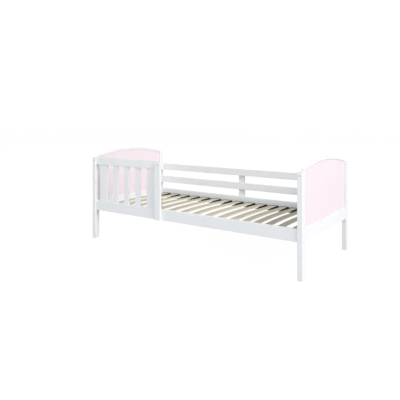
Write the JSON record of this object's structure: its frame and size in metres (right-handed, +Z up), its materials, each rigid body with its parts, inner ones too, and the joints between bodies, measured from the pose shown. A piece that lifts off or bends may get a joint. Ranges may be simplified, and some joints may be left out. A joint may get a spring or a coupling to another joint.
{
  "type": "toddler bed",
  "caption": "Painted toddler bed with arched end panels between square posts, a slatted front guard at the head end, open back rails and sprung slats in holders.",
  "frame": {"origin": "on the floor under the middle of the bed's bounding box", "axes": "+X along the bed from the head end (with the guard) to the foot end, +Y from the open front to the back rails, +Z up"},
  "size_m": [1.866, 0.9012, 0.732],
  "materials": {
    "white_lacquer": "satin white lacquer",
    "pink_panel": "satin pale pink lacquer on thin board",
    "birch_slat": "bare birch ply, lightly sealed",
    "black_plastic": "moulded matte black",
    "screw_dark": "mid grey cover plug",
    "zinc_steel": "zinc plated"
  },
  "bodies": {
    "root": {"post_head_front": "white_lacquer", "post_head_back": "white_lacquer", "post_foot_front": "white_lacquer", "post_foot_back": "white_lacquer", "head_arch_rail": "white_lacquer", "foot_arch_rail": "white_lacquer", "head_bottom_rail": "white_lacquer", "foot_bottom_rail": "white_lacquer", "side_rail_front": "white_lacquer", "side_rail_back": "white_lacquer", "back_rail_lower": "white_lacquer", "back_rail_upper": "white_lacquer", "back_support_board": "white_lacquer", "guard_top_rail": "white_lacquer", "guard_board_head": "white_lacquer", "guard_slat_1": "white_lacquer", "guard_slat_2": "white_lacquer", "guard_slat_3": "white_lacquer", "guard_board_foot": "white_lacquer", "guard_end_post": "white_lacquer", "head_panel": "pink_panel", "foot_panel": "pink_panel", "slat_01": "birch_slat", "slat_02": "birch_slat", "slat_03": "birch_slat", "slat_04": "birch_slat", "slat_05": "birch_slat", "slat_06": "birch_slat", "slat_07": "birch_slat", "slat_08": "birch_slat", "slat_09": "birch_slat", "slat_10": "birch_slat", "slat_11": "birch_slat", "slat_12": "birch_slat", "slat_13": "birch_slat", "slat_14": "birch_slat", "slat_15": "birch_slat", "slat_16": "birch_slat", "slat_holder_rail_front": "black_plastic", "slat_holder_rail_back": "black_plastic", "post_plug_head_front": "screw_dark", "post_plug_head_back": "screw_dark", "post_plug_foot_front": "screw_dark", "post_plug_foot_back": "screw_dark", "rail_stud_head_front": "zinc_steel", "rail_stud_head_back": "zinc_steel", "rail_stud_foot_front": "zinc_steel", "rail_stud_foot_back": "zinc_steel", "barrel_nut_head_front": "zinc_steel", "barrel_nut_head_back": "zinc_steel", "barrel_nut_foot_front": "zinc_steel", "barrel_nut_foot_back": "zinc_steel", "guard_screw_upper": "zinc_steel", "guard_screw_lower": "zinc_steel", "support_screw_low": "zinc_steel", "support_screw_middle": "zinc_steel", "support_screw_top": "zinc_steel"}
  },
  "joints": []
}
